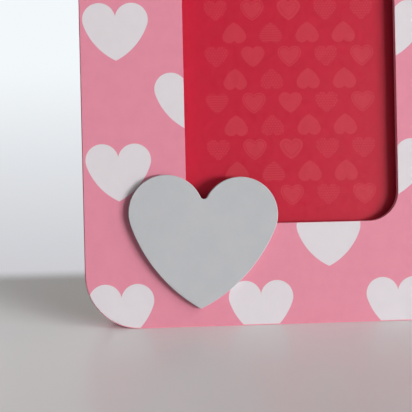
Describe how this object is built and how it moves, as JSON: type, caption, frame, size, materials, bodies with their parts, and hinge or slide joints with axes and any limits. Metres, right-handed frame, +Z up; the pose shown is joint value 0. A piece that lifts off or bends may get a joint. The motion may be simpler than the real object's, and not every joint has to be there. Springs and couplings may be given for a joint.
{
  "type": "heart plaque photo frame",
  "caption": "Pink board photo frame with white hearts, round corners and window, a grey heart plaque, a red insert, back panel, turn buttons and easel leg.",
  "frame": {"origin": "on the surface that the frame stands on, at the middle of its bounding box seen from above", "axes": "+X to the right as seen from the front, +Y from the front to the leg behind, +Z up. The board leans back 14 degrees."},
  "size_m": [0.1862, 0.0754, 0.2294],
  "materials": {
    "painted_board": "satin pink paint on the edges of a fibreboard, bare at the back",
    "printed_paper": "satin print, white hearts on pink",
    "plaque_paint": "matt grey paint with a fine grain",
    "clear_sheet": "clear and polished",
    "insert_paper": "satin print, tone on tone hearts on red",
    "grey_card": "plain grey card",
    "backing_board": "hardboard covered with grained black paper, brown edges",
    "nickel_steel": "nickel plated",
    "zinc_steel": "bright zinc plated"
  },
  "bodies": {
    "frame_body": {"front_board": "painted_board", "face_print": "printed_paper", "heart_plaque": "plaque_paint", "glazing_sheet": "clear_sheet", "photo_insert": "insert_paper", "filler_card": "grey_card", "back_panel": "backing_board", "panel_rivets": "nickel_steel", "hinge_leaf_fixed": "nickel_steel", "hinge_pin": "nickel_steel", "button_screw_1": "zinc_steel", "button_screw_2": "zinc_steel", "button_screw_3": "zinc_steel", "button_screw_4": "zinc_steel", "button_screw_5": "zinc_steel", "button_screw_6": "zinc_steel"},
    "leg": {"easel_leg": "backing_board", "hinge_leaf_moving": "nickel_steel", "leg_rivets": "nickel_steel"},
    "button_1": {"turn_button_1": "zinc_steel"},
    "button_2": {"turn_button_2": "zinc_steel"},
    "button_3": {"turn_button_3": "zinc_steel"},
    "button_4": {"turn_button_4": "zinc_steel"},
    "button_5": {"turn_button_5": "zinc_steel"},
    "button_6": {"turn_button_6": "zinc_steel"}
  },
  "joints": [
    {"name": "leg_fold", "type": "hinge", "parent": "frame_body", "child": "leg", "pos_m": [0, 0.00979, 0.13792], "axis": [-1, 0, 0], "range_deg": [0, 25]},
    {"name": "button_turn_1", "type": "hinge", "parent": "frame_body", "child": "button_1", "pos_m": [-0.04, 0.02109, 0.19339], "axis": [0, 0.9703, -0.2419], "continuous": true},
    {"name": "button_turn_2", "type": "hinge", "parent": "frame_body", "child": "button_2", "pos_m": [0.04, 0.02109, 0.19339], "axis": [0, 0.9703, -0.2419], "continuous": true},
    {"name": "button_turn_3", "type": "hinge", "parent": "frame_body", "child": "button_3", "pos_m": [0.0579, 0.00094, 0.11256], "axis": [0, 0.9703, -0.2419], "continuous": true},
    {"name": "button_turn_4", "type": "hinge", "parent": "frame_body", "child": "button_4", "pos_m": [0.04, -0.01921, 0.03173], "axis": [0, 0.9703, -0.2419], "continuous": true},
    {"name": "button_turn_5", "type": "hinge", "parent": "frame_body", "child": "button_5", "pos_m": [-0.04, -0.01921, 0.03173], "axis": [0, 0.9703, -0.2419], "continuous": true},
    {"name": "button_turn_6", "type": "hinge", "parent": "frame_body", "child": "button_6", "pos_m": [-0.0579, 0.00094, 0.11256], "axis": [0, 0.9703, -0.2419], "continuous": true}
  ]
}
